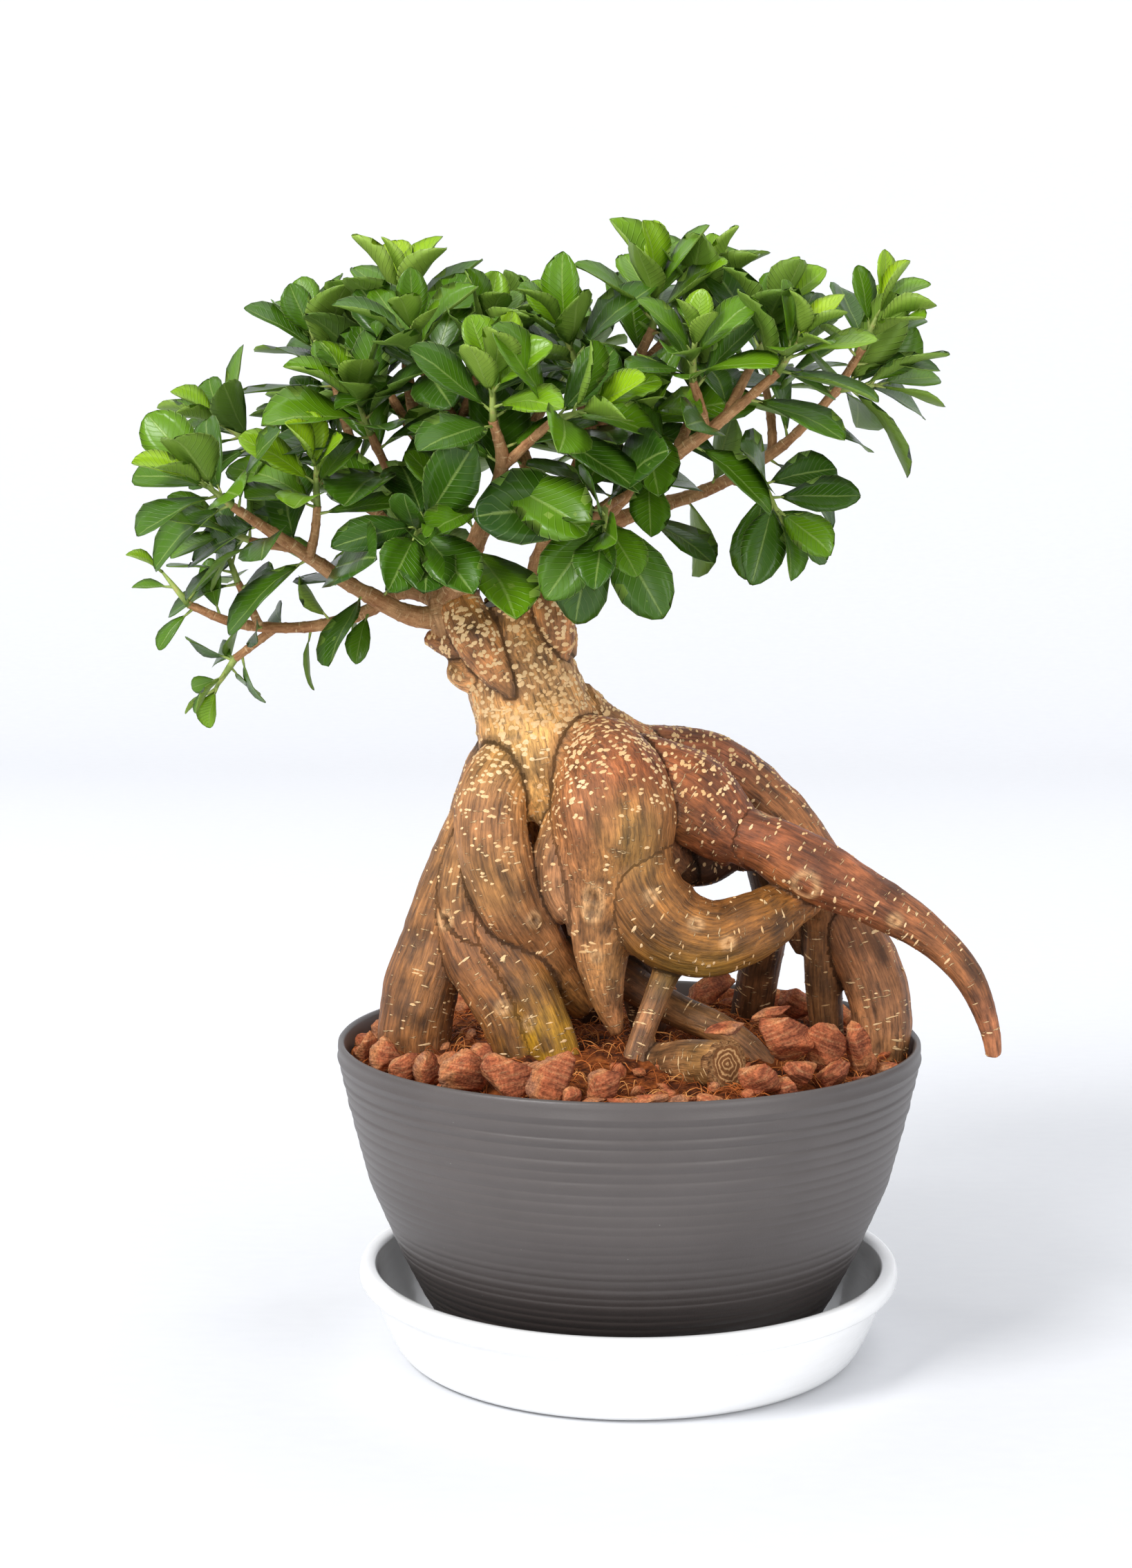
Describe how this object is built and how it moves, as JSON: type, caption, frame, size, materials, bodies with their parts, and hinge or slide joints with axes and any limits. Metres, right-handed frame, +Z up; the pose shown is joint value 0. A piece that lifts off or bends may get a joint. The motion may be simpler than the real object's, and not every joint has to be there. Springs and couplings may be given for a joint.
{
  "type": "potted bonsai tree",
  "caption": "Grafted ginseng ficus bonsai with fat looping aerial roots in a flared dark bowl pot, standing in a round white saucer",
  "frame": {"origin": "centre of the saucer's flat underside, on the surface it stands on", "axes": "+Z up; -Y faces the viewer (the cut stub lies at the front and the long root reaches out to +X)"},
  "size_m": [0.3174, 0.22, 0.4185],
  "materials": {
    "glaze": "gloss",
    "pot_plastic": "satin, finely ribbed",
    "coir_mix": "fibrous, loose",
    "root_bark": "smooth bark with pale corky dashes",
    "twig_bark": "flaky young bark",
    "foliage": "glossy",
    "pine_bark": "rough, layered"
  },
  "bodies": {
    "root": {"bark_chip_01": "pine_bark", "bark_chip_02": "pine_bark", "bark_chip_03": "pine_bark", "bark_chip_04": "pine_bark", "bark_chip_05": "pine_bark", "bark_chip_06": "pine_bark", "bark_chip_07": "pine_bark", "bark_chip_08": "pine_bark", "bark_chip_09": "pine_bark", "bark_chip_10": "pine_bark", "bark_chip_11": "pine_bark", "bark_chip_12": "pine_bark", "bark_chip_13": "pine_bark", "bark_chip_14": "pine_bark", "bark_chip_15": "pine_bark", "bark_chip_16": "pine_bark", "bark_chip_17": "pine_bark", "bark_chip_18": "pine_bark", "bark_chip_19": "pine_bark", "bark_chip_20": "pine_bark", "left_graft": "twig_bark", "left_shoot_01": "foliage", "left_shoot_02": "foliage", "left_shoot_03": "foliage", "left_shoot_04": "foliage", "left_shoot_05": "foliage", "left_shoot_06": "foliage", "left_shoot_07": "foliage", "left_shoot_08": "foliage", "left_shoot_09": "foliage", "left_shoot_10": "foliage", "left_shoot_11": "foliage", "left_shoot_12": "foliage", "left_shoot_13": "foliage", "left_shoot_14": "foliage", "left_shoot_15": "foliage", "left_shoot_16": "foliage", "left_shoot_17": "foliage", "left_shoot_18": "foliage", "pot": "pot_plastic", "potting_mix": "coir_mix", "right_graft": "twig_bark", "right_shoot_01": "foliage", "right_shoot_02": "foliage", "right_shoot_03": "foliage", "right_shoot_04": "foliage", "right_shoot_05": "foliage", "right_shoot_06": "foliage", "right_shoot_07": "foliage", "right_shoot_08": "foliage", "right_shoot_09": "foliage", "right_shoot_10": "foliage", "right_shoot_11": "foliage", "right_shoot_12": "foliage", "right_shoot_13": "foliage", "right_shoot_14": "foliage", "right_shoot_15": "foliage", "rootstock": "root_bark", "saucer": "glaze"}
  },
  "joints": []
}
